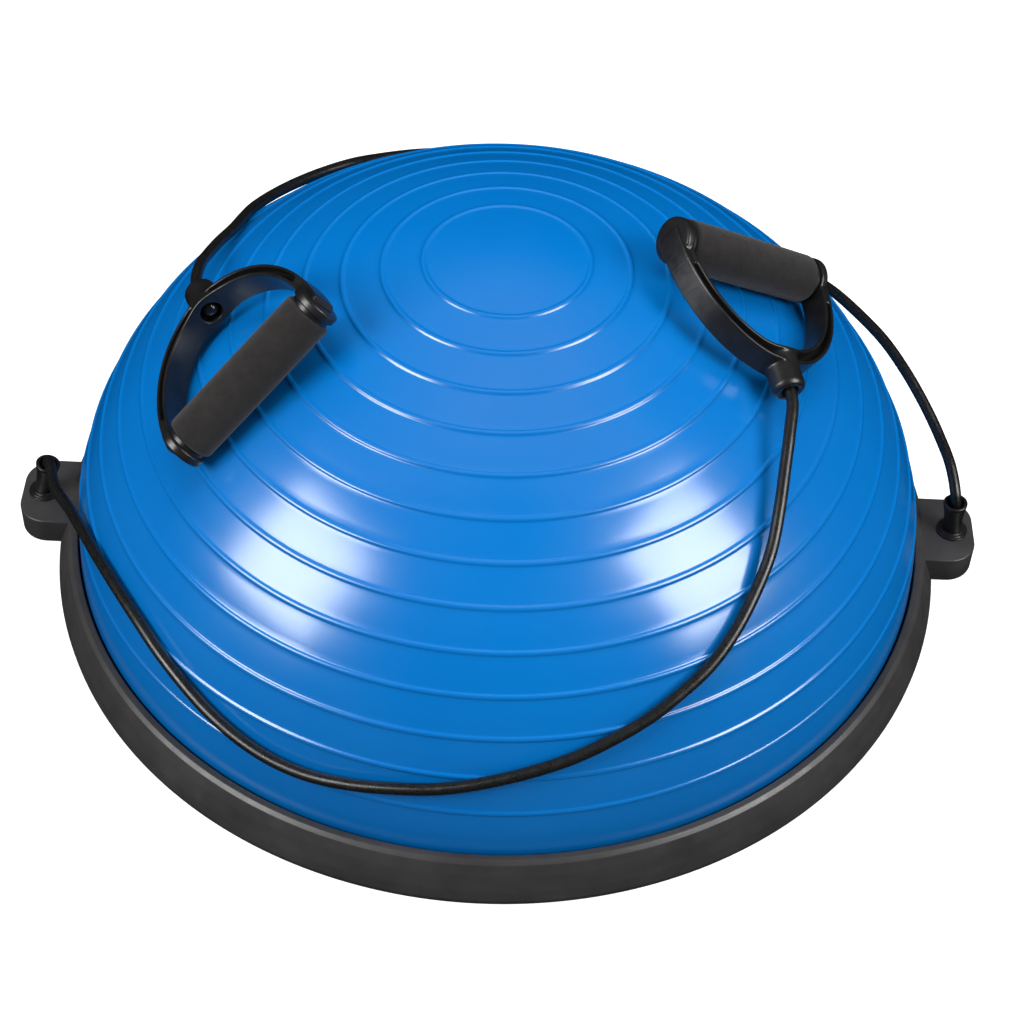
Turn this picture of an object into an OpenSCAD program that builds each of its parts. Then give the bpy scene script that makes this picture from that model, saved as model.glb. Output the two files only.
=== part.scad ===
// Balance dome trainer: an air-filled half dome clamped on a round platform,
// with two elastic bands that end in D handles.
// Frame: origin at the middle of the underside, +Z up, +X through the right ear.

/* [Base] */
// Radius of the clamp ring at its foot
base_r = 300; // [290:1:310]
// Height of the clamp ring's top
ring_top = 34.5; // [34:0.5:37]
// How far the pads lift the platform off the floor
pad_lift = 2; // [1:0.5:3]
// Number of screws that hold the clamp ring down
screw_count = 16; // [8:2:24]

/* [Dome] */
// Radius of the dome where it leaves the clamp ring
dome_r = 283; // [280:0.5:283.5]
// Height of the dome above the clamp ring
dome_h = 230; // [225:1:232]
// Wall of the dome
dome_wall = 3; // [2:0.5:4]
// Arc distance from the crown to the first rib
rib_first = 52; // [40:1:60]
// Arc distance between ribs
rib_step = 26; // [24:0.5:27]
// Number of raised ribs round the dome
rib_count = 13; // [6:1:13]
// Height of a rib
rib_h = 0.9; // [0.4:0.1:1]

/* [Ears] */
// Distance from the middle to the hole in an ear
ear_hole_x = 311; // [309:0.5:312]
// Reach of an ear from the middle
ear_reach = 326; // [324:1:328]
// Half the width of an ear
ear_half = 29; // [26:1:32]
// Lean of the left sleeve towards the dome
left_lean = 12; // [0:1:14]
// Lean of the right sleeve towards the dome
right_lean = 4; // [0:1:14]

/* [Bands] */
// Diameter of an elastic band
band_d = 7.5; // [7:0.1:7.8]

/* [Handles] */
// Half the length of the foam grip
foam_half = 53.5; // [50:0.5:54]
// Radius of the foam grip
foam_r = 15.5; // [14:0.5:16]
// Half the width of the bow
bow_half = 65.5; // [65:0.5:67]
// Height of the bow above the grip's axis
bow_rise = 83; // [82:0.5:85]
// Width of the bow's flanges
bow_w = 19; // [17:0.5:20]
// Length from the grip's axis to the band's mouth
boss_reach = 99; // [98:0.5:102]

/* [Hidden] */
$fn = 96;

// Platform and clamp ring
flange_r = base_r - 3.5;
flange_top = 8;
seat_r = 288;
seat_top = 12;
skin = 4;
screw_r = 2;
screw_circle = base_r - 8;
seal_t = 2;
bead_top = 22;
bead_in = 276;
floor_t = 1.5;
rib_t = 4;
hub_r = 30;
recess_r = 22;
recess_h = 3;

// Valve in the middle of the platform
valve_r = 6;
valve_bore = 4;
plug_r = 3.95;
plug_head_r = 9;
valve_top = seat_top + floor_t;

// Ears
ear_top = 32;
ear_bottom = 12;
ear_corner = 20;
ear_bore = band_d / 2 + 0.75;
stop_r = 7.5;
stop_top = 22;
collar_r = 12;
collar_h = 3;
sleeve_r = 8;
sleeve_foot = ear_top + 1.8;
sleeve_len = 26;
band_in_sleeve = [4, 14, 27.5];

// Handles: x runs along the grip, y towards the band, z off the dome
LEFT_AT = [-150.5, -86.3, 232.7];
LEFT_TURN = [-10, -39.5, 31.5];
RIGHT_AT = [147.5, 24.4, 244.2];
RIGHT_TURN = [-15, -32.6, -155.4];
flange_t = 2.4;
web_t = 4;
bow_inner_half = bow_half - 7.5;
bow_inner_rise = bow_rise - 9.5;
eye_r = 15;
eye_in = foam_half + 3;
eye_out = eye_in + 6;
axle_r = 5;
tube_r = 9;
boss_r = 10.5;
ball_r = 6;
ball_y = boss_reach - 19.5;
pocket_r = 7.3;
pocket_floor = ball_y + 4.5;
bore_r = band_d / 2 + 0.4;
mouth_h = 5;
mouth_r = bore_r + 1.6;
past_mouth = 3;

// The dome's outline: a superellipse from the crown at t = 0 to the rim at t = 90
arc_steps = 60;
function dome_at(t) = [dome_r * pow(sin(t), 2 / 1.75), ring_top - 0.5 + dome_h * cos(t)];
function dome_normal(t) = let(d = dome_at(t + 0.2) - dome_at(max(t - 0.2, 0)))
    [-d[1], d[0]] / norm(d);
ARC = [for (i = 0, s = 0; i <= arc_steps;
    i = i + 1, s = s + norm(dome_at(min(i, arc_steps) * 90 / arc_steps)
        - dome_at((i - 1) * 90 / arc_steps))) [s, i * 90 / arc_steps]];
arc_total = ARC[arc_steps][0];
function arc_point(s, out) = let(t = lookup(s, ARC), p = dome_at(t) + out * dome_normal(t))
    [s <= 0 ? 0 : p[0], p[1]];

// The dome's radius at a height, for the bands that lie on it
function dome_radius(z) = dome_r * pow(1 - pow((z - ring_top + 0.5) / dome_h, 2), 1 / 1.75);
function on_dome(azimuth, z, lift) = let(
    slope = (dome_radius(z + 1) - dome_radius(z - 1)) / 2,
    out = (band_d / 2 + lift) / sqrt(1 + slope * slope),
    r = dome_radius(z) + out)
    [r * cos(azimuth), r * sin(azimuth), z - out * slope];

// Where each band lies on the dome: azimuth, height, and lift off the dome
FRONT_ON_DOME = [[-174, 65, 13], [-169, 74, 5], [-163, 86, 2], [-156, 95, 1.2], [-149, 99, 1.2],
    [-142, 98, 1.2], [-137, 94, 1.2], [-132, 89, 1.2], [-127, 83, 1.2], [-122, 78, 1.2],
    [-117, 75, 1.2], [-112, 75, 1.2], [-107, 78, 1.2], [-101, 83, 1.2], [-95, 88, 1.2], [-89, 95, 1.2],
    [-84, 101, 1.2], [-79, 107, 1.2], [-74, 114, 1.2], [-69, 121, 1.2], [-64, 129, 1.2],
    [-59, 137, 1.2], [-54, 147, 1.2], [-49, 158, 2], [-44, 169, 4.5], [-38, 183, 8], [-33, 192, 10.5],
    [-28, 199, 14]];
REAR_ON_DOME = [[3, 69, 23.5], [7.5, 78, 20], [12, 90, 16], [16, 100, 13], [21, 108, 10],
    [26, 112, 6.5], [31.5, 114, 3.5], [37, 110, 1.5], [43, 106, 1.2], [50, 105, 1.2], [58, 108, 1.2],
    [66, 112, 1.2], [74, 118, 1.2], [82, 124, 1.2], [90, 130, 1.2], [98, 137, 1.2], [106, 145, 1.2],
    [113, 151, 1.2], [119, 158, 1.2], [125, 161, 1.2], [131, 164, 1.2], [137, 168, 1.2],
    [142, 173, 1.2], [147, 180, 1.2], [152, 186, 2], [158, 190, 5], [164, 194, 9], [170, 198, 14]];

// A point of a handle's own frame in the object's frame
function turn_x(p, a) = [p[0], p[1] * cos(a) - p[2] * sin(a), p[1] * sin(a) + p[2] * cos(a)];
function turn_y(p, a) = [p[0] * cos(a) + p[2] * sin(a), p[1], p[2] * cos(a) - p[0] * sin(a)];
function turn_z(p, a) = [p[0] * cos(a) - p[1] * sin(a), p[0] * sin(a) + p[1] * cos(a), p[2]];
function placed(p, at, turn) = at + turn_z(turn_y(turn_x(p, turn[0]), turn[1]), turn[2]);

// Both ends of a band: up through the ear and its sleeve, and into the handle's boss
function ear_end(side, lean) = concat([[side * ear_hole_x, 0, stop_top + 0.05],
    [side * ear_hole_x, 0, ear_top - 2]],
    [for (up = band_in_sleeve) sleeve_point(side, lean, up)]);
function sleeve_point(side, lean, up) =
    [side * (ear_hole_x - up * sin(lean)), 0, sleeve_foot + up * cos(lean)];
function handle_end(at, turn) = [placed([0, boss_reach + past_mouth, 0], at, turn),
    placed([0, boss_reach - mouth_h, 0], at, turn),
    placed([0, ball_y + ball_r + 0.4, 0], at, turn)];
FRONT_ROUTE = concat(ear_end(-1, left_lean), [for (p = FRONT_ON_DOME) on_dome(p[0], p[1], p[2])],
    handle_end(RIGHT_AT, RIGHT_TURN));
REAR_ROUTE = concat(ear_end(1, right_lean), [for (p = REAR_ON_DOME) on_dome(p[0], p[1], p[2])],
    handle_end(LEFT_AT, LEFT_TURN));

// A smooth curve through a route, and its length
per_span = 2;
function heading(route, i) = let(last = len(route) - 1)
    i <= 0 ? unit(route[1] - route[0]) : i >= last ? unit(route[last] - route[last - 1])
    : let(a = route[i] - route[i - 1], b = route[i + 1] - route[i], p = norm(a), q = norm(b))
        (a * q / p + b * p / q) / (p + q);
function curve_at(route, i, f) = let(a = route[i], b = route[i + 1], h = norm(b - a))
    (1 + 2 * f) * (1 - f) * (1 - f) * a + f * (1 - f) * (1 - f) * h * heading(route, i)
        + f * f * (3 - 2 * f) * b + f * f * (f - 1) * h * heading(route, i + 1);
function curve(route) = concat([for (i = [0 : len(route) - 2]) for (k = [0 : per_span - 1])
    curve_at(route, i, k / per_span)], [route[len(route) - 1]]);
function run_length(c) = [for (i = 0, s = 0; i < len(c);
    i = i + 1, s = s + (i < len(c) ? norm(c[i] - c[i - 1]) : 0)) s][len(c) - 1];
band_sides = 10;
function unit(v) = v / norm(v);
function tangent(c, i) = unit(c[min(len(c) - 1, i + 1)] - c[max(0, i - 1)]);
function carried(c, side) = [for (i = 0, n = side; i < len(c);
    i = i + 1, n = i < len(c) ? unit(n - (n * tangent(c, i)) * tangent(c, i)) : n) n];

module band_tube(route, side) {
    c = curve(route);
    n = carried(c, unit(side - (side * tangent(c, 0)) * tangent(c, 0)));
    rings = len(c);
    points = [for (i = [0 : rings - 1]) for (k = [0 : band_sides - 1])
        let(a = 360 * k / band_sides, b = cross(tangent(c, i), n[i]))
            c[i] + band_d / 2 * (cos(a) * n[i] + sin(a) * b)];
    walls = [for (i = [0 : rings - 2]) for (k = [0 : band_sides - 1])
        let(a = i * band_sides + k, b = i * band_sides + (k + 1) % band_sides)
            [a, a + band_sides, b + band_sides, b]];
    first = [for (k = [0 : band_sides - 1]) k];
    last = [for (k = [band_sides - 1 : -1 : 0]) (rings - 1) * band_sides + k];
    polyhedron(points = points, faces = concat(walls, [first], [last]), convexity = 8);
}

module tube(r_out, r_in, h) {
    difference() {
        cylinder(r = r_out, h = h);
        translate([0, 0, -1]) cylinder(r = r_in, h = h + 2);
    }
}

module around(count, r) {
    for (i = [0 : count - 1]) rotate([0, 0, (i + 0.5) * 360 / count]) translate([r, 0, 0]) children();
}

module platform() {
    color([0.2, 0.2, 0.21]) difference() {
        union() {
            translate([0, 0, pad_lift]) cylinder(r = flange_r, h = skin, $fn = 180);
            translate([0, 0, pad_lift]) tube(flange_r, bead_in - 6, flange_top - pad_lift);
            translate([0, 0, pad_lift]) tube(seat_r, bead_in - 6, seat_top - pad_lift);
            translate([0, 0, pad_lift]) cylinder(r = hub_r, h = seat_top - pad_lift);
            translate([0, 0, pad_lift]) tube(155 + rib_t / 2, 155 - rib_t / 2, seat_top - pad_lift);
            for (a = [0 : 30 : 330]) rotate([0, 0, a])
                translate([hub_r - 2, -rib_t / 2, pad_lift])
                    cube([bead_in - 5 - hub_r, rib_t, seat_top - pad_lift]);
        }
        cylinder(r = recess_r, h = pad_lift + recess_h);
        cylinder(r = valve_r + 0.05, h = 40);
        for (r = [60 : 30 : 240]) tube(r + 1.5, r - 1.5, pad_lift + 0.8);
        around(screw_count, screw_circle) {
            cylinder(r = screw_r + 0.3, h = 20);
            cylinder(r = 4.4, h = pad_lift + 2.6);
        }
    }
}

module platform_pads() {
    color([0.08, 0.08, 0.085]) for (a = [0 : 45 : 315]) rotate([0, 0, a])
        rotate_extrude(angle = 24, $fn = 180) polygon([[258, 0.6], [258.6, 0], [271.4, 0],
            [272, 0.6], [272, pad_lift], [258, pad_lift]]);
}

module ear(side) {
    mid = ear_reach - ear_corner;
    translate([0, 0, ear_bottom]) {
        for (y = [-1, 1]) translate([side * mid, y * (ear_half - ear_corner), 0])
            cylinder(r = ear_corner, h = ear_top - ear_bottom);
        translate([side > 0 ? 270 : -mid, -ear_half, 0])
            cube([mid - 270, 2 * ear_half, ear_top - ear_bottom]);
        translate([side > 0 ? 270 : -ear_reach, ear_corner - ear_half, 0])
            cube([ear_reach - 270, 2 * (ear_half - ear_corner), ear_top - ear_bottom]);
    }
}

module clamp_ring() {
    color([0.25, 0.24, 0.25]) difference() {
        union() {
            rotate_extrude($fn = 180) polygon([[seat_r, flange_top], [seat_r, bead_top],
                [dome_r + 1, bead_top + 2], [dome_r + 1, ring_top - 1], [dome_r + 2, ring_top],
                [base_r - 11.5, ring_top], [base_r - 8.5, ring_top - 1.2], [base_r - 6, ring_top - 4],
                [base_r - 3.5, ring_top - 10], [base_r - 1.2, 14], [base_r, 7], [base_r - 0.6, 4],
                [base_r - 2, pad_lift], [base_r - 3.2, pad_lift], [base_r - 3.2, flange_top]]);
            difference() {
                union() {
                    ear(1);
                    ear(-1);
                }
                cylinder(r = seat_r + 1, h = 60, $fn = 180);
            }
        }
        for (side = [-1, 1]) translate([side * ear_hole_x, 0, 0]) {
            cylinder(r = ear_bore, h = 60);
            cylinder(r = stop_r + 0.3, h = stop_top + 0.2);
        }
        around(screw_count, screw_circle) cylinder(r = screw_r + 0.05, h = 20);
    }
}

module ring_screws() {
    color([0.6, 0.6, 0.62]) around(screw_count, screw_circle) {
        translate([0, 0, pad_lift + 0.6]) cylinder(r = 4, h = 2);
        translate([0, 0, pad_lift + 1]) cylinder(r = screw_r, h = 16.5);
    }
}

module dome_shell() {
    smooth_step = rib_step / 2;
    crown = [for (s = [0 : smooth_step : rib_first - smooth_step]) arc_point(s, 0)];
    ribs = [for (i = [0 : rib_count - 1]) let(s = rib_first + i * rib_step)
        each [arc_point(s - 2.2, 0), arc_point(s, rib_h), arc_point(s + 2.2, 0),
            arc_point(s + smooth_step, 0)]];
    skirt_from = rib_first + rib_count * rib_step;
    skirt = [for (s = [skirt_from : smooth_step : arc_total - 4]) arc_point(s, 0)];
    bead = [[dome_r, ring_top - 0.5], [dome_r, bead_top + 2], [seat_r - 0.5, bead_top],
        [seat_r - 0.5, seat_top + seal_t], [bead_in, seat_top + seal_t], [bead_in, bead_top],
        [dome_r - dome_wall, bead_top + 2], [dome_r - dome_wall, ring_top - 0.5]];
    inside = [for (i = [20 : -1 : 0]) arc_point(i * arc_total / 21, -dome_wall)];
    color([0.02, 0.4, 0.82]) rotate_extrude($fn = 180)
        polygon(concat(crown, ribs, skirt, bead, inside));
}

module air_floor() {
    color([0.03, 0.3, 0.6]) translate([0, 0, seat_top]) tube(bead_in - 0.2, valve_r + 0.05, floor_t);
}

module bead_seal() {
    color([0.05, 0.05, 0.05]) translate([0, 0, seat_top]) tube(seat_r - 0.3, bead_in, seal_t);
}

module valve_body() {
    color([0.85, 0.85, 0.83]) difference() {
        union() {
            translate([0, 0, pad_lift + recess_h]) cylinder(r = valve_r, h = valve_top - pad_lift - recess_h);
            translate([0, 0, valve_top]) cylinder(r = 12, h = 1.5);
        }
        cylinder(r = valve_bore, h = 40);
    }
}

module valve_plug() {
    color([0.9, 0.9, 0.88]) {
        translate([0, 0, pad_lift + 1]) cylinder(r = plug_head_r, h = recess_h - 1.3);
        translate([0, 0, pad_lift + 1]) cylinder(r = plug_r, h = 10);
        translate([-1.2, -7, pad_lift + 0.2]) cube([2.4, 14, 1.2]);
    }
}

// The sleeve's axis: it leans towards the dome from the middle of the collar
module leaning(side, lean) {
    translate([side * ear_hole_x, 0, sleeve_foot]) rotate([0, -side * lean, 0]) children();
}

module ear_collar(side, lean) {
    color([0.07, 0.07, 0.07]) difference() {
        translate([side * ear_hole_x, 0, ear_top]) union() {
            cylinder(r = collar_r, h = collar_h - 1);
            cylinder(r = collar_r - 2.4, h = collar_h);
        }
        leaning(side, lean) cylinder(r = sleeve_r + 0.05, h = 40);
        translate([side * ear_hole_x, 0, 0]) cylinder(r = ear_bore, h = 60);
    }
}

module sleeve(side, lean) {
    color([0.12, 0.12, 0.12]) leaning(side, lean) rotate_extrude() polygon([
        [ear_bore, 0], [sleeve_r, 0], [sleeve_r, 5], [sleeve_r - 0.9, 12], [sleeve_r - 0.6, 20],
        [sleeve_r + 0.2, sleeve_len - 4], [sleeve_r + 0.4, sleeve_len - 1], [sleeve_r - 0.4, sleeve_len],
        [ear_bore + 2.3, sleeve_len], [ear_bore, sleeve_len - 8]]);
}

module band_stop(side) {
    color([0.5, 0.5, 0.5]) translate([side * ear_hole_x, 0, ear_bottom + 1]) {
        cylinder(r = stop_r - 1.5, h = stop_top - ear_bottom - 1);
        translate([0, 0, 2]) cylinder(r = stop_r, h = stop_top - ear_bottom - 3);
    }
}

module front_band() {
    color([0.06, 0.06, 0.06]) band_tube(FRONT_ROUTE, [0, 1, 0]);
}

module rear_band() {
    color([0.06, 0.06, 0.06]) band_tube(REAR_ROUTE, [0, 1, 0]);
}

// An upper half ellipse, from its right end round to its left end, with straight feet
module half_ellipse(a, b) {
    polygon(concat([[a, -2]], [for (t = [0 : 7.5 : 180]) [a * cos(t), b * sin(t)]], [[-a, -2]]));
}

module bow_ring(inset_out, inset_in) {
    difference() {
        half_ellipse(bow_half - inset_out, bow_rise - inset_out);
        half_ellipse(bow_inner_half + inset_in, bow_inner_rise + inset_in);
        translate([-80, -10]) square([160, 10]);
    }
}

module along_x() {
    rotate([0, 90, 0]) children();
}

module along_y() {
    rotate([-90, 0, 0]) children();
}

module bow() {
    color([0.09, 0.09, 0.1]) difference() {
        union() {
            translate([0, 0, -bow_w / 2]) linear_extrude(bow_w) bow_ring(0, 0);
            for (side = [-1, 1]) translate([side > 0 ? eye_in : -eye_out, 0, 0])
                along_x() cylinder(r = eye_r, h = eye_out - eye_in);
            translate([0, bow_inner_rise - 6, 0]) along_y()
                cylinder(r = boss_r, h = boss_reach - 2 - bow_inner_rise + 6);
            translate([0, boss_reach - 2, 0]) along_y() cylinder(r1 = boss_r, r2 = boss_r - 2, h = 2);
        }
        for (z = [-1, 1]) difference() {
            translate([0, 0, z > 0 ? web_t / 2 : -bow_w / 2 - 1])
                linear_extrude(bow_w / 2 - web_t / 2 + 1) bow_ring(flange_t, flange_t);
            along_y() cylinder(r = boss_r, h = 120);
            for (side = [-1, 1]) translate([side > 0 ? eye_in : -eye_out, 0, 0])
                along_x() cylinder(r = eye_r, h = eye_out - eye_in);
        }
        translate([-eye_out + 3, 0, 0]) along_x() cylinder(r = axle_r + 0.02, h = 2 * eye_out - 6);
        translate([0, ball_y - 14, 0]) along_y() cylinder(r = pocket_r, h = pocket_floor - ball_y + 14);
        along_y() cylinder(r = bore_r, h = 120);
        translate([0, boss_reach - mouth_h, 0]) along_y()
            cylinder(r1 = bore_r, r2 = mouth_r, h = mouth_h + 0.01);
    }
}

module axle() {
    color([0.7, 0.7, 0.72]) translate([-eye_out + 3.2, 0, 0]) along_x()
        cylinder(r = axle_r, h = 2 * eye_out - 6.4);
}

module washers() {
    color([0.1, 0.1, 0.1]) for (side = [-1, 1])
        translate([side > 0 ? foam_half + 0.5 : -eye_in + 0.1, 0, 0])
            along_x() tube(13, axle_r + 0.05, eye_in - foam_half - 0.6);
}

module grip_tube() {
    color([0.2, 0.2, 0.2]) translate([-foam_half, 0, 0]) along_x()
        tube(tube_r, axle_r + 0.08, 2 * foam_half);
}

module foam_grip() {
    color([0.15, 0.14, 0.14]) along_x() rotate_extrude() polygon([[tube_r, -foam_half],
        [foam_r - 1.5, -foam_half], [foam_r, 1.5 - foam_half], [foam_r, foam_half - 1.5],
        [foam_r - 1.5, foam_half], [tube_r, foam_half]]);
}

module stop_ball() {
    color([0.03, 0.03, 0.03]) translate([0, ball_y, 0]) sphere(r = ball_r, $fn = 48);
}

module left() {
    translate(LEFT_AT) rotate(LEFT_TURN) children();
}

module right() {
    translate(RIGHT_AT) rotate(RIGHT_TURN) children();
}

platform();
platform_pads();
clamp_ring();
ring_screws();
dome_shell();
air_floor();
bead_seal();
valve_body();
valve_plug();
ear_collar(-1, left_lean);  // left_ear_collar
ear_collar(1, right_lean);  // right_ear_collar
sleeve(-1, left_lean);  // left_sleeve
sleeve(1, right_lean);  // right_sleeve
band_stop(-1);  // left_band_stop
band_stop(1);  // right_band_stop
front_band();
rear_band();
left() bow();  // left_bow
left() axle();  // left_axle
left() washers();  // left_washers
left() grip_tube();  // left_grip_tube
left() foam_grip();  // left_foam_grip
left() stop_ball();  // left_stop_ball
right() bow();  // right_bow
right() axle();  // right_axle
right() washers();  // right_washers
right() grip_tube();  // right_grip_tube
right() foam_grip();  // right_foam_grip
right() stop_ball();  // right_stop_ball
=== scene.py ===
"""Looks of the balance dome trainer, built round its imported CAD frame. Metres, Z up."""

import math

import bmesh
import bpy
from mathutils import Euler, Matrix, Vector


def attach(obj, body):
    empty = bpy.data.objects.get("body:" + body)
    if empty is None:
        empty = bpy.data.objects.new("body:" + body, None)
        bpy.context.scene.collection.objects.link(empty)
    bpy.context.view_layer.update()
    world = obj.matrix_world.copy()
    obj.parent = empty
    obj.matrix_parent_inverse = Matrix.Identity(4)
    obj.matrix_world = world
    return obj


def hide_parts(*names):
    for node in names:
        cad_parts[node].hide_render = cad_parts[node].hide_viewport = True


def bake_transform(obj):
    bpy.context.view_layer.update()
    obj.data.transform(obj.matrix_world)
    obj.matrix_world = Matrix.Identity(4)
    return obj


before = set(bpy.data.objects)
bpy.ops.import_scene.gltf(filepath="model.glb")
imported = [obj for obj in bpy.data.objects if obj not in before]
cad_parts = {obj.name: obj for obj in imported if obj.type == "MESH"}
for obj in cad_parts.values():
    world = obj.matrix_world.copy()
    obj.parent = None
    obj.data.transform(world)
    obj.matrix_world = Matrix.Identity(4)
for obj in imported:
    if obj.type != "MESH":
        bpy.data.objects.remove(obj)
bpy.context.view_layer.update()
MM = 0.001
scene = bpy.context.scene

# ---------------------------------------------------------------- camera
camera_data = bpy.data.cameras.new("camera")
camera = bpy.data.objects.new("camera", camera_data)
scene.collection.objects.link(camera)
SENSOR, LENS, SIGHT = 36, 80.83, 50
CAMERA_AT = (0.012, -1.0773, 1.1975)
TILT, ROLL = math.radians(42.63), math.radians(2.507)
camera_data.sensor_width = SENSOR
camera_data.lens = LENS
camera_data.clip_end = SIGHT
camera.matrix_world = Matrix.Translation(CAMERA_AT) @ Matrix.Rotation(TILT, 4, "X") @ Matrix.Rotation(ROLL, 4, "Z")
scene.camera = camera


# ---------------------------------------------------------------- mesh helpers
def mesh_object(name, points, faces, sharp=None):
    mesh = bpy.data.meshes.new(name)
    mesh.from_pydata([tuple(p) for p in points], [], faces)
    work = bmesh.new()
    work.from_mesh(mesh)
    bmesh.ops.recalc_face_normals(work, faces=work.faces)
    work.to_mesh(mesh)
    work.free()
    obj = bpy.data.objects.new(name, mesh)
    scene.collection.objects.link(obj)
    smooth(obj, sharp)
    return obj


def smooth(obj, sharp=None):
    obj.data.shade_smooth()
    if sharp:
        obj.data.set_sharp_from_angle(angle=math.radians(sharp))


def rounded(outline, radius, steps=4, closed=True):
    """A 2-D outline with its corners rounded. radius is one number, or one for each corner."""
    n = len(outline)
    radii = radius if isinstance(radius, (list, tuple)) else [radius] * n
    out = []
    for i, corner in enumerate(outline):
        c = Vector(corner)
        if radii[i] <= 0 or (not closed and i in (0, n - 1)):
            out.append(tuple(c))
            continue
        a, b = Vector(outline[i - 1]) - c, Vector(outline[(i + 1) % n]) - c
        half = a.angle(b) / 2
        if half > math.radians(88):
            out.append(tuple(c))
            continue
        reach = min(radii[i] / math.tan(half), a.length * 0.48, b.length * 0.48)
        r = reach * math.tan(half)
        middle = c + (a.normalized() + b.normalized()).normalized() * (r / math.sin(half))
        start, end = c + a.normalized() * reach - middle, c + b.normalized() * reach - middle
        for k in range(steps + 1):
            f = k / steps
            out.append(tuple(middle + (start * (1 - f) + end * f).normalized() * r))
    return out


def lathe(name, profile, segments=96, matrix=None, closed=True, sharp=None):
    """A profile of (radius, height) in mm turned about Z."""
    points, rings = [], []
    for r, z in profile:
        if r < 1e-6:
            rings.append([len(points)] * segments)
            points.append(Vector((0, 0, z)) * MM)
        else:
            rings.append(list(range(len(points), len(points) + segments)))
            for k in range(segments):
                a = 2 * math.pi * k / segments
                points.append(Vector((r * math.cos(a), r * math.sin(a), z)) * MM)
    faces = []
    count = len(rings)
    for i in range(count if closed else count - 1):
        a, b = rings[i], rings[(i + 1) % count]
        for k in range(segments):
            m = (k + 1) % segments
            face = list(dict.fromkeys([a[k], a[m], b[m], b[k]]))
            if len(face) > 2:
                faces.append(face)
    if matrix is not None:
        points = [matrix @ p for p in points]
    return mesh_object(name, points, faces, sharp)


def join(name, objects):
    """One object from several, with their places applied."""
    whole = bmesh.new()
    for o in objects:
        part = o.data.copy()
        part.transform(o.matrix_world)
        whole.from_mesh(part)
        bpy.data.objects.remove(o)
    mesh = bpy.data.meshes.new(name)
    whole.to_mesh(mesh)
    whole.free()
    obj = bpy.data.objects.new(name, mesh)
    scene.collection.objects.link(obj)
    return obj


def apply(obj, kind, **settings):
    """Adds a modifier and bakes it into the mesh."""
    m = obj.modifiers.new(kind.lower(), kind)
    for key, value in settings.items():
        setattr(m, key, value)
    graph = bpy.context.evaluated_depsgraph_get()
    baked = bpy.data.meshes.new_from_object(obj.evaluated_get(graph))
    obj.modifiers.clear()
    obj.data = baked
    return obj


# ---------------------------------------------------------------- the dome's outline
DOME_R, DOME_H, DOME_FOOT = 283.0, 230.0, 34.0
BAND_D = 7.5


def dome_at(t):
    return Vector((DOME_R * math.sin(t) ** (2 / 1.75), DOME_FOOT + DOME_H * math.cos(t)))


STEPS = 2400
ARC = [(0.0, 0.0)]
for i in range(1, STEPS + 1):
    t = i * math.pi / 2 / STEPS
    ARC.append((ARC[-1][0] + (dome_at(t) - dome_at(ARC[-1][1])).length, t))
ARC_TOTAL = ARC[-1][0]


def arc_angle(s):
    s = min(max(s, 0), ARC_TOTAL)
    lo, hi = 0, STEPS
    while hi - lo > 1:
        mid = (lo + hi) // 2
        lo, hi = (mid, hi) if ARC[mid][0] <= s else (lo, mid)
    f = (s - ARC[lo][0]) / (ARC[hi][0] - ARC[lo][0])
    return ARC[lo][1] + f * (ARC[hi][1] - ARC[lo][1])


def arc_point(s, out=0.0):
    t = arc_angle(s)
    p = dome_at(t)
    d = dome_at(min(t + 0.002, math.pi / 2)) - dome_at(max(t - 0.002, 0))
    normal = Vector((-d.y, d.x)).normalized()
    if s <= 0:
        return (0.0, p.y + out)
    return (p.x + out * normal.x, p.y + out * normal.y)


def dome_radius(z):
    return DOME_R * (1 - ((z - DOME_FOOT) / DOME_H) ** 2) ** (1 / 1.75)


def on_dome(azimuth, z, lift):
    slope = (dome_radius(z + 1) - dome_radius(z - 1)) / 2
    out = (BAND_D / 2 + lift) / math.sqrt(1 + slope * slope)
    r, a = dome_radius(z) + out, math.radians(azimuth)
    return Vector((r * math.cos(a), r * math.sin(a), z - out * slope))


# ---------------------------------------------------------------- the bands
EAR_HOLE, STOP_TOP, EAR_TOP, SLEEVE_FOOT = 311, 22, 32, 33.8
LEFT_LEAN, RIGHT_LEAN = 12, 4
UP_THE_SLEEVE = (4, 14, 27.5)
PAST_MOUTH, BALL_GAP, STOP_GAP, BELOW_EAR_TOP = 3, 0.4, 0.05, 2
PER_SPAN = 8
BOSS_REACH, BALL_Y, BALL_R, MOUTH_H = 99, 79.5, 6, 5


def handle_matrix(at, turn):
    """A handle's frame: x along its grip, y towards its band, z off the dome."""
    return Matrix.Translation(at) @ Euler([math.radians(a) for a in turn], "XYZ").to_matrix().to_4x4()


LEFT = handle_matrix((-150.5, -86.3, 232.7), (-10, -39.5, 31.5))
RIGHT = handle_matrix((147.5, 24.4, 244.2), (-15, -32.6, -155.4))
FRONT_ON_DOME = [
    (-174, 65, 13), (-169, 74, 5), (-163, 86, 2), (-156, 95, 1.2), (-149, 99, 1.2), (-142, 98, 1.2),
    (-137, 94, 1.2), (-132, 89, 1.2), (-127, 83, 1.2), (-122, 78, 1.2), (-117, 75, 1.2),
    (-112, 75, 1.2), (-107, 78, 1.2), (-101, 83, 1.2), (-95, 88, 1.2), (-89, 95, 1.2),
    (-84, 101, 1.2), (-79, 107, 1.2), (-74, 114, 1.2), (-69, 121, 1.2), (-64, 129, 1.2),
    (-59, 137, 1.2), (-54, 147, 1.2), (-49, 158, 2), (-44, 169, 4.5), (-38, 183, 8),
    (-33, 192, 10.5), (-28, 199, 14),
]
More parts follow.
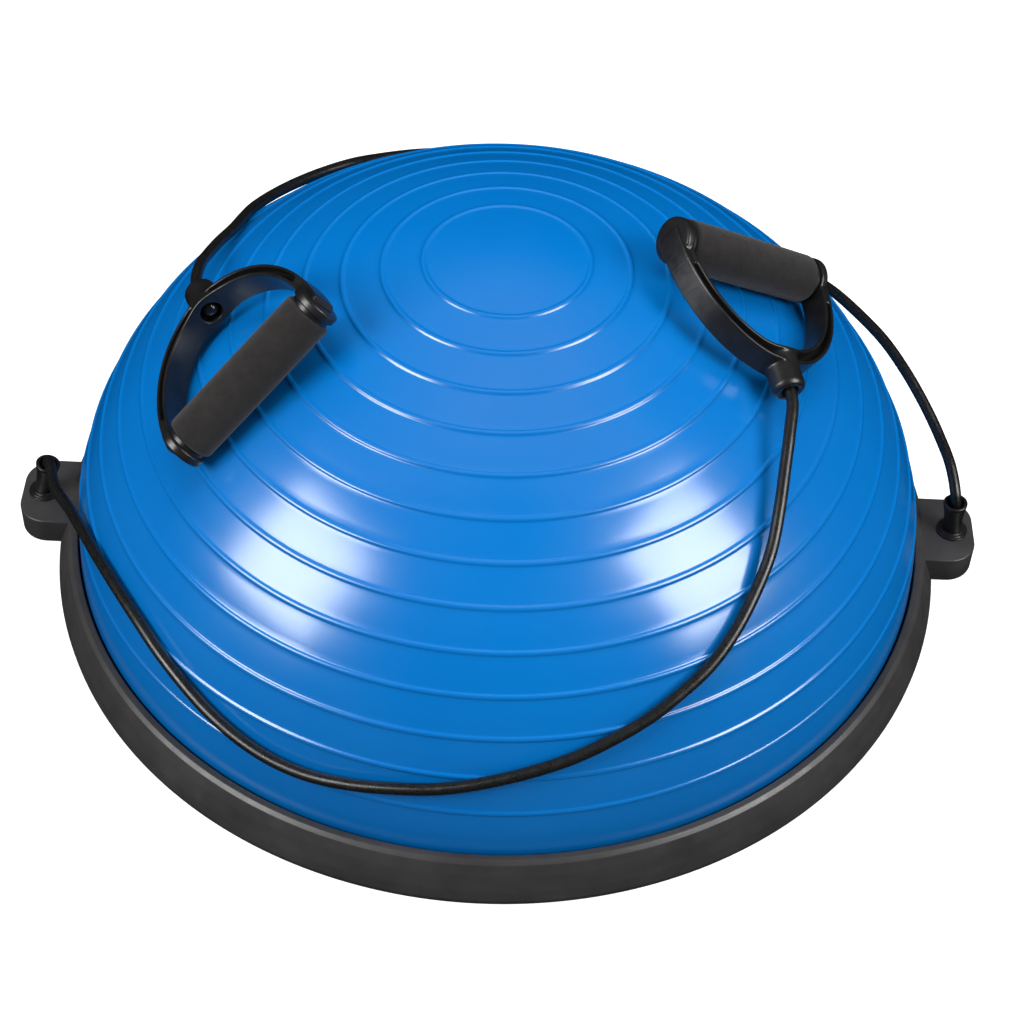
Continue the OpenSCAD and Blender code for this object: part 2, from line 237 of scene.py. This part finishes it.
REAR_ON_DOME = [
    (3, 69, 23.5), (7.5, 78, 20), (12, 90, 16), (16, 100, 13), (21, 108, 10), (26, 112, 6.5),
    (31.5, 114, 3.5), (37, 110, 1.5), (43, 106, 1.2), (50, 105, 1.2), (58, 108, 1.2), (66, 112, 1.2),
    (74, 118, 1.2), (82, 124, 1.2), (90, 130, 1.2), (98, 137, 1.2), (106, 145, 1.2),
    (113, 151, 1.2), (119, 158, 1.2), (125, 161, 1.2), (131, 164, 1.2), (137, 168, 1.2),
    (142, 173, 1.2), (147, 180, 1.2), (152, 186, 2), (158, 190, 5), (164, 194, 9), (170, 198, 14),
]


def sleeve_point(side, lean, up):
    a = math.radians(lean)
    return Vector((side * (EAR_HOLE - up * math.sin(a)), 0, SLEEVE_FOOT + up * math.cos(a)))


def route(side, lean, lying, handle):
    """A band's points: up through its ear and sleeve, over the dome, and into the handle's boss."""
    points = [Vector((side * EAR_HOLE, 0, z)) for z in (STOP_TOP + STOP_GAP, EAR_TOP - BELOW_EAR_TOP)]
    points += [sleeve_point(side, lean, up) for up in UP_THE_SLEEVE]
    points += [on_dome(*p) for p in lying]
    ends = [BOSS_REACH + PAST_MOUTH, BOSS_REACH - MOUTH_H, BALL_Y + BALL_R + BALL_GAP]
    return points + [handle @ Vector((0, y, 0)) for y in ends]


def heading(points, i):
    last = len(points) - 1
    if i == 0 or i == last:
        return (points[max(i, 1)] - points[max(i, 1) - 1]).normalized()
    a, b = points[i] - points[i - 1], points[i + 1] - points[i]
    p, q = a.length, b.length
    return (a * (q / p) + b * (p / q)) / (p + q)


def curve(points, per_span):
    """A smooth curve through the points."""
    out = []
    for i in range(len(points) - 1):
        a, b = points[i], points[i + 1]
        h = (b - a).length
        m, n = heading(points, i) * h, heading(points, i + 1) * h
        for k in range(per_span):
            f = k / per_span
            g = 1 - f
            out.append((1 + 2 * f) * g * g * a + f * g * g * m + f * f * (3 - 2 * f) * b - f * f * g * n)
    return out + [points[-1]]


def tube(name, line, radius, sides=24):
    """A round tube along a line of points, closed at both ends."""
    points, faces = [], []
    last = len(line) - 1
    side = Vector((0, 1, 0))
    for i, p in enumerate(line):
        along = (line[min(last, i + 1)] - line[max(0, i - 1)]).normalized()
        side = (side - side.dot(along) * along).normalized()
        other = along.cross(side)
        for k in range(sides):
            a = 2 * math.pi * k / sides
            points.append((p + radius * (math.cos(a) * side + math.sin(a) * other)) * MM)
    for i in range(last):
        for k in range(sides):
            m = (k + 1) % sides
            faces.append([i * sides + k, i * sides + m, (i + 1) * sides + m, (i + 1) * sides + k])
    faces.append(list(range(sides)))
    faces.append(list(range(last * sides, (last + 1) * sides)))
    return mesh_object(name, points, faces, sharp=50)


BANDS = {}
for name, side, lean, lying, handle in (
    ("front_band", -1, LEFT_LEAN, FRONT_ON_DOME, RIGHT),
    ("rear_band", 1, RIGHT_LEAN, REAR_ON_DOME, LEFT),
):
    line = curve(route(side, lean, lying, handle), PER_SPAN)
    length = sum((line[i + 1] - line[i]).length for i in range(len(line) - 1))
    BANDS[name] = (tube(name + "_latex", line, BAND_D / 2), [p * MM for p in line], length)


# ---------------------------------------------------------------- materials
def material(name):
    """A new material, its tree and its main shader."""
    m = bpy.data.materials.new(name)
    m.use_nodes = True
    tree = m.node_tree
    return m, tree, tree.nodes["Principled BSDF"]


def noise(tree, scale, detail=4, roughness=0.5):
    """Noise in the piece's own coordinates."""
    place = tree.nodes.new("ShaderNodeTexCoord")
    n = tree.nodes.new("ShaderNodeTexNoise")
    n.inputs["Scale"].default_value = scale
    n.inputs["Detail"].default_value = detail
    n.inputs["Roughness"].default_value = roughness
    tree.links.new(place.outputs["Object"], n.inputs["Vector"])
    return n.outputs["Fac"]


def ramp(tree, value, stops):
    """A colour ramp over a value. A stop is a place and a colour, or a place and one grey."""
    r = tree.nodes.new("ShaderNodeValToRGB")
    while len(r.color_ramp.elements) < len(stops):
        r.color_ramp.elements.new(0.5)
    for element, (place, colour) in zip(r.color_ramp.elements, stops):
        element.position = place
        element.color = (*colour, 1) if len(colour) == 3 else (colour[0],) * 3 + (1,)
    tree.links.new(value, r.inputs["Fac"])
    return r.outputs["Color"]


def bump(tree, shader, value, distance, strength=1.0, onto=None):
    """Relief from a value, over an earlier relief if onto is given."""
    b = tree.nodes.new("ShaderNodeBump")
    b.inputs["Distance"].default_value = distance
    b.inputs["Strength"].default_value = strength
    tree.links.new(value, b.inputs["Height"])
    if onto is not None:
        tree.links.new(onto, b.inputs["Normal"])
    tree.links.new(b.outputs["Normal"], shader.inputs["Normal"])
    return b.outputs["Normal"]


def moulded(name, dark, light, rough, grain, depth, mottle, spread=0.06):
    """Moulded plastic or rubber: slight mottling, fine grain in the surface."""
    m, tree, shader = material(name)
    patches = noise(tree, mottle, 5, 0.6)
    tree.links.new(ramp(tree, patches, [(0.3, dark), (0.7, light)]), shader.inputs["Base Color"])
    wear = noise(tree, mottle * 2.3, 3)
    tree.links.new(
        ramp(tree, wear, [(0.3, (max(rough - spread, 0),)), (0.7, (rough + spread,))]), shader.inputs["Roughness"]
    )
    bump(tree, shader, noise(tree, grain, 2), depth)
    return m


DOME_BLUE, dome_tree, dome_shader = material("dome_pvc")
dome_patches = noise(dome_tree, 5, 3)
dome_tree.links.new(
    ramp(dome_tree, dome_patches, [(0.3, (0.0, 0.106, 0.352)), (0.7, (0.0, 0.117, 0.374))]),
    dome_shader.inputs["Base Color"],
)
dome_tree.links.new(
    ramp(dome_tree, noise(dome_tree, 18, 4), [(0.3, (0.19,)), (0.7, (0.25,))]), dome_shader.inputs["Roughness"]
)
bump(dome_tree, dome_shader, noise(dome_tree, 260, 3), 0.00003, 0.6)
dome_shader.inputs["Specular IOR Level"].default_value = 0.75
dome_shader.inputs["Coat Weight"].default_value = 0.1
dome_shader.inputs["Coat Roughness"].default_value = 0.15

RING = moulded("ring_plastic", (0.024, 0.0226, 0.0232), (0.036, 0.0340, 0.0348), 0.40, 1400, 0.00006, 30)
BLACK = moulded("black_plastic", (0.005, 0.0048, 0.005), (0.010, 0.0096, 0.010), 0.34, 1600, 0.00004, 60)
BALL = moulded("ball_plastic", (0.006, 0.006, 0.006), (0.009, 0.009, 0.009), 0.12, 1600, 0.00001, 60, spread=0.02)
PAD = moulded("pad_rubber", (0.010, 0.010, 0.010), (0.02, 0.02, 0.02), 0.75, 1100, 0.0001, 50)
VALVE = moulded("valve_plastic", (0.62, 0.62, 0.60), (0.70, 0.70, 0.68), 0.35, 1500, 0.00003, 50)
STEEL = moulded("steel", (0.45, 0.45, 0.47), (0.55, 0.55, 0.57), 0.3, 700, 0.00003, 90)
STEEL.node_tree.nodes["Principled BSDF"].inputs["Metallic"].default_value = 1.0

LATEX, latex_tree, latex_shader = material("band_latex")
latex_speckle = [(0.35, (0.003, 0.003, 0.003)), (0.55, (0.006, 0.006, 0.006)), (0.72, (0.03, 0.029, 0.027))]
latex_tree.links.new(
    ramp(latex_tree, noise(latex_tree, 1500, 3, 0.7), latex_speckle), latex_shader.inputs["Base Color"]
)
latex_tree.links.new(
    ramp(latex_tree, noise(latex_tree, 240, 4), [(0.3, (0.24,)), (0.7, (0.40,))]), latex_shader.inputs["Roughness"]
)
bump(latex_tree, latex_shader, noise(latex_tree, 900, 4), 0.00012, 0.7)

FOAM, foam_tree, foam_shader = material("foam")
foam_tree.links.new(
    ramp(foam_tree, noise(foam_tree, 130, 6, 0.7), [(0.3, (0.006, 0.0052, 0.005)), (0.7, (0.013, 0.0113, 0.0108))]),
    foam_shader.inputs["Base Color"],
)
foam_shader.inputs["Roughness"].default_value = 0.92
foam_shader.inputs["Specular IOR Level"].default_value = 0.25
foam_shader.inputs["Sheen Weight"].default_value = 0.12
foam_shader.inputs["Sheen Roughness"].default_value = 0.5
pores = foam_tree.nodes.new("ShaderNodeTexVoronoi")
pores.inputs["Scale"].default_value = 1300
foam_place = foam_tree.nodes.new("ShaderNodeTexCoord")
foam_tree.links.new(foam_place.outputs["Object"], pores.inputs["Vector"])
foam_fine = bump(foam_tree, foam_shader, pores.outputs["Distance"], 0.0003, 0.8)
bump(foam_tree, foam_shader, noise(foam_tree, 220, 4), 0.0004, 0.6, onto=foam_fine)


def coat(obj, mat):
    obj.data.materials.clear()
    obj.data.materials.append(mat)
    return obj


def fit(obj, body, mat, slot, *nodes):
    """A finished piece: its material, the body it rides on and the CAD nodes it stands for."""
    coat(obj, mat)
    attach(obj, body)
    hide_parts(*nodes)
    return obj


for name, (band, line, length) in BANDS.items():
    coat(band, LATEX)
    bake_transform(band)
    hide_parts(name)

# ---------------------------------------------------------------- the dome
RIB_FIRST, RIB_STEP, RIB_COUNT, RIB_H = 52, 26, 13, 0.95
RIB_SHAPE = [(-2.6, 0), (-2.0, 0.08), (-1.5, 0.42), (-1.0, 0.85), (-0.5, 1), (0, 1), (0.5, 1), (1.0, 0.85),
             (1.5, 0.42), (2.0, 0.08), (2.6, 0)]
profile = [(s, 0) for s in (0, 4, 8, 12, 16, 20, 24, 28, 32, 36, 40, 44, 47)]
for i in range(RIB_COUNT):
    s = RIB_FIRST + i * RIB_STEP
    profile += [(s + x, y * RIB_H) for x, y in RIB_SHAPE]
    profile += [(s + x, 0) for x in (5, 8, 11, 14, 17, 20) if s + x < ARC_TOTAL - 3]
skin = [arc_point(s, out) for s, out in profile]
tuck = [(DOME_R + 0.1, 34), (DOME_R, 30), (DOME_R - 0.5, 24)]
inside = [arc_point(ARC_TOTAL * i / 24, -3) for i in range(24, -1, -1)]
inside[-1] = (0.0, inside[-1][1])
dome = lathe("dome_skin", skin + tuck + [(DOME_R - 3, 24)] + inside, 256, closed=False, sharp=60)
fit(dome, "base", DOME_BLUE, "dome_pvc", "dome_shell")

# ---------------------------------------------------------------- clamp ring and ears
ring_outline = rounded(
    [(284.6, 12), (284.6, 34.6), (288.8, 34.6), (291.5, 32.4), (294.6, 25), (298.3, 14), (300, 7), (299.6, 3.5),
     (298.2, 2.1), (292, 2.1), (292, 12)],
    [0.4, 1.0, 1.6, 1.6, 4, 4, 3, 1, 0.6, 0.4, 0.4],
)
ring = lathe("ring_body", ring_outline, 256, sharp=35)


def slab(name, outline, z0, z1, soft, steps=3):
    """A flat plate with rounded rims, from a 2-D outline in mm."""
    mesh = bmesh.new()
    low = [mesh.verts.new((x, y, z0)) for x, y in outline]
    face = mesh.faces.new(low)
    grown = bmesh.ops.extrude_face_region(mesh, geom=[face])
    for v in grown["geom"]:
        if isinstance(v, bmesh.types.BMVert):
            v.co.z = z1
    bmesh.ops.recalc_face_normals(mesh, faces=mesh.faces)
    rims = [e for e in mesh.edges if abs(e.verts[0].co.z - e.verts[1].co.z) < 1e-6]
    bmesh.ops.bevel(mesh, geom=rims, offset=soft, segments=steps, profile=0.5, affect="EDGES", clamp_overlap=True)
    bmesh.ops.scale(mesh, vec=(MM, MM, MM), verts=mesh.verts)
    data = bpy.data.meshes.new(name)
    mesh.to_mesh(data)
    mesh.free()
    obj = bpy.data.objects.new(name, data)
    scene.collection.objects.link(obj)
    smooth(obj, 40)
    return obj


ears = []
for side in (-1, 1):
    outline = rounded([(286, -29), (326, -29), (326, 29), (286, 29)], [0, 20, 20, 0], 14)
    ears.append(slab("ear", [(side * x, y) for x, y in outline][:: side], 12, 32, 1.0))
ring = join("ring_and_ears", [ring, *ears])
smooth(ring, 38)
fit(ring, "base", RING, "ring_plastic", "clamp_ring")

# ---------------------------------------------------------------- collars and sleeves
for word, side, lean in (("left", -1, LEFT_LEAN), ("right", 1, RIGHT_LEAN)):
    upright = Matrix.Translation(Vector((side * EAR_HOLE, 0, 0)) * MM)
    collar = lathe(
        word + "_collar_steps",
        rounded([(5.2, 32), (10.6, 32), (10.6, 33.4), (9.0, 33.4), (9.0, 34.2), (7.4, 34.2), (7.4, 35), (5.2, 35)],
                0.35, 3),
        72, upright, sharp=40,
    )
    fit(collar, "base", BLACK, "black_plastic", word + "_ear_collar")
    leaning = Matrix.Translation(Vector((side * EAR_HOLE, 0, SLEEVE_FOOT)) * MM)
    leaning = leaning @ Matrix.Rotation(math.radians(-side * lean), 4, "Y")
    funnel = lathe(
        word + "_sleeve_funnel",
        rounded([(4.0, 0), (6.6, 0), (6.4, 6), (6.5, 14), (7.2, 20), (8.0, 23.5), (8.2, 25.5), (7.4, 26), (6.2, 26),
                 (4.6, 21), (4.1, 18)], 0.5, 3),
        72, leaning, sharp=40,
    )
    fit(funnel, "base", BLACK, "black_plastic", word + "_sleeve")

# ---------------------------------------------------------------- handles
# The bow's inner and outer half ellipses, across the grip and along the band
IN_A, IN_B, OUT_A, OUT_B = 58.0, 73.5, 65.5, 83.0
INNER_W, OUTER_W, WEB_W, END_W = 9.8, 8.6, 2.2, 8.4
EYE_R, EYE_HALF, EYE_MIDDLE = 15, 3, 59.5
BOSS_FOOT, BOSS_R, POCKET_R, BORE_R = 75, 10.6, 7.2, 4.3
AXLE_BORE_R, AXLE_BORE_HALF = 5.2, 57
FOAM_HALF, FOAM_R, TUBE_R = 53.5, 15.5, 9


def bow_line(t, share):
    a = IN_A + (OUT_A - IN_A) * share
    b = IN_B + (OUT_B - IN_B) * share
    return Vector((a * math.cos(t), b * math.sin(t), 0))


def bow_strip(name, share_in, share_out, half_width, t0=-2.0, t1=182.0, steps=90):
    """A strip of the bow between two shares of its thickness. half_width is a function of t in degrees."""
    points, faces = [], []
    for i in range(steps + 1):
        deg = t0 + (t1 - t0) * i / steps
        t = math.radians(deg)
        w = half_width(deg)
        inner, outer = bow_line(t, share_in), bow_line(t, share_out)
        for p, z in ((inner, -w), (outer, -w), (outer, w), (inner, w)):
            points.append((p + Vector((0, 0, z))) * MM)
    for i in range(steps):
        for k in range(4):
            m = (k + 1) % 4
            faces.append([4 * i + k, 4 * i + m, 4 * i + 4 + m, 4 * i + 4 + k])
    faces.append([0, 1, 2, 3])
    faces.append([4 * steps + k for k in range(4)])
    return mesh_object(name, points, faces)


def flare(deg):
    """1 at the boss, falling away along the bow."""
    return math.exp(-(((deg - 90) / 11) ** 2))


def along_x(x):
    return Matrix.Translation(Vector((x, 0, 0)) * MM) @ Matrix.Rotation(math.pi / 2, 4, "Y")


def along_y(y):
    return Matrix.Translation(Vector((0, y, 0)) * MM) @ Matrix.Rotation(-math.pi / 2, 4, "X")


def make_bow():
    """The bow in its own frame: strips, eyes and boss fused, then the pocket and the axle's bore cut."""
    parts = [
        bow_strip("a", 0.0, 0.26, lambda d: INNER_W + 2.0 * flare(d)),
        bow_strip("b", 0.10, 0.90, lambda d: WEB_W),
        bow_strip("c", 0.76, 1.0, lambda d: OUTER_W + 1.0 * flare(d)),
    ]
    for low, high in ((-3, 17), (163, 183)):
        parts.append(bow_strip("d", 0.05, 0.95, lambda d: END_W, low, high, 16))
    for side in (-1, 1):
        disc = rounded([(0, -EYE_HALF), (EYE_R, -EYE_HALF), (EYE_R, EYE_HALF), (0, EYE_HALF)], [0, 1.0, 1.4, 0], 4)
        facing = Matrix.Rotation(0 if side > 0 else math.pi, 4, "X")
        parts.append(lathe("e", disc, 72, along_x(side * EYE_MIDDLE) @ facing, closed=False))
    boss = rounded(
        [(0, BOSS_FOOT), (BOSS_R + 1, BOSS_FOOT), (BOSS_R, 82), (BOSS_R - 0.2, 96.4), (8.8, BOSS_REACH),
         (0, BOSS_REACH)],
        [0, 0.8, 4, 1.0, 0.6, 0], 4,
    )
    parts.append(lathe("f", boss, 72, along_y(0), closed=False))
    bow = join("bow", parts)
    apply(bow, "REMESH", mode="VOXEL", voxel_size=0.0006)
    cuts = [
        lathe("g", [(0, 60), (POCKET_R, 60), (POCKET_R, 83), (BORE_R, 84.5), (BORE_R, 94.5), (5.8, 99.2), (5.8, 110),
                    (0, 110)], 64, along_y(0), closed=False),
        lathe("h", [(0, -AXLE_BORE_HALF), (AXLE_BORE_R, -AXLE_BORE_HALF), (AXLE_BORE_R, AXLE_BORE_HALF),
                    (0, AXLE_BORE_HALF)], 48, along_x(0), closed=False),
    ]
    for cut in cuts:
        apply(bow, "BOOLEAN", operation="DIFFERENCE", solver="EXACT", object=cut)
        bpy.data.objects.remove(cut)
    apply(bow, "REMESH", mode="VOXEL", voxel_size=0.0005)
    apply(bow, "SMOOTH", factor=0.5, iterations=4)
    apply(bow, "DECIMATE", ratio=0.3)
    return bow


bow_mesh = make_bow()
foam_outline = rounded(
    [(TUBE_R, -FOAM_HALF), (FOAM_R, -FOAM_HALF), (FOAM_R + 0.2, 0), (FOAM_R, FOAM_HALF), (TUBE_R, FOAM_HALF)],
    [0.3, 2.4, 30, 2.4, 0.3], 6,
)
for word, place in (("left", LEFT), ("right", RIGHT)):
    here = Matrix.Translation(place.translation * MM) @ place.to_3x3().to_4x4()
    bow = bpy.data.objects.new(word + "_bow_moulding", bow_mesh.data.copy())
    scene.collection.objects.link(bow)
    bow.data.transform(here)
    smooth(bow)
    fit(bow, word + "_handle", BLACK, "black_plastic", word + "_bow")
    foam = lathe(word + "_foam", foam_outline, 96, here @ along_x(0), sharp=50)
    fit(foam, word + "_grip", FOAM, "foam", word + "_foam_grip")
    ball = lathe(
        word + "_ball",
        [(BALL_R * math.sin(math.pi * i / 24), BALL_R * math.cos(math.pi * i / 24)) for i in range(25)],
        48, here @ along_y(BALL_Y), closed=False,
    )
    fit(ball, word + "_handle", BALL, "black_plastic", word + "_stop_ball")
bpy.data.objects.remove(bow_mesh)

# ---------------------------------------------------------------- the CAD nodes that stay
KEPT = {
    "platform": RING, "platform_pads": PAD, "ring_screws": STEEL, "air_floor": DOME_BLUE, "bead_seal": PAD,
    "valve_body": VALVE, "valve_plug": VALVE, "left_band_stop": BLACK, "right_band_stop": BLACK,
}
for word in ("left", "right"):
    KEPT.update({word + "_axle": STEEL, word + "_washers": BLACK, word + "_grip_tube": BLACK})
for name, mat in KEPT.items():
    coat(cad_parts[name], mat)

# ---------------------------------------------------------------- studio
# The floor lies a hair below the pads, so that the two do not coincide
FLOOR_REACH, FLOOR_Z, FLOOR_TONE = 12, -0.0004, 0.3
WORLD_LIGHT, WORLD_SEEN = 0.2, 1.1
floor_corners = [(x * FLOOR_REACH, y * FLOOR_REACH, FLOOR_Z) for x, y in ((-1, -1), (1, -1), (1, 1), (-1, 1))]
floor_mesh = bpy.data.meshes.new("floor")
floor_mesh.from_pydata(floor_corners, [], [(0, 1, 2, 3)])
floor = bpy.data.objects.new("floor", floor_mesh)
scene.collection.objects.link(floor)
floor.visible_glossy = False
FLOOR, floor_tree, floor_shader = material("floor")
floor_shader.inputs["Base Color"].default_value = (FLOOR_TONE, FLOOR_TONE, FLOOR_TONE, 1)
floor_shader.inputs["Roughness"].default_value = 1.0
floor_shader.inputs["Specular IOR Level"].default_value = 0.0
floor_shader.inputs["Emission Color"].default_value = (1, 1, 1, 1)
floor_rays = floor_tree.nodes.new("ShaderNodeLightPath")
floor_tree.links.new(floor_rays.outputs["Is Camera Ray"], floor_shader.inputs["Emission Strength"])
coat(floor, FLOOR)

world = bpy.data.worlds.new("studio")
scene.world = world
world.use_nodes = True
world_tree = world.node_tree
backdrop = world_tree.nodes["Background"]
backdrop.inputs["Color"].default_value = (0.9, 0.95, 1, 1)
world_rays = world_tree.nodes.new("ShaderNodeLightPath")
level = world_tree.nodes.new("ShaderNodeMapRange")
level.inputs["To Min"].default_value = WORLD_LIGHT
level.inputs["To Max"].default_value = WORLD_SEEN
world_tree.links.new(world_rays.outputs["Is Camera Ray"], level.inputs["Value"])
world_tree.links.new(level.outputs["Result"], backdrop.inputs["Strength"])
world.cycles_visibility.glossy = False


def softbox(name, at, aim, width, height, power, glossy=True):
    """A rectangular light. With glossy off it lights surfaces but leaves no highlight."""
    data = bpy.data.lights.new(name, "AREA")
    data.shape = "RECTANGLE"
    data.size, data.size_y = width, height
    data.energy = power
    light = bpy.data.objects.new(name, data)
    light.location = at
    light.rotation_mode = "QUATERNION"
    light.rotation_quaternion = (Vector(aim) - Vector(at)).to_track_quat("-Z", "Y")
    light.visible_glossy = glossy
    scene.collection.objects.link(light)


softbox("window_left", (-1.55, -0.9, 1.2), (0, 0, 0.15), 1.0, 1.1, 44)
softbox("window_right", (1.55, -0.75, 1.3), (0, 0, 0.15), 0.95, 1.2, 44)
softbox("overhead", (0, 0.5, 2.4), (0, 0, 0), 2.4, 2.0, 64, glossy=False)
scene.view_settings.view_transform = "Standard"
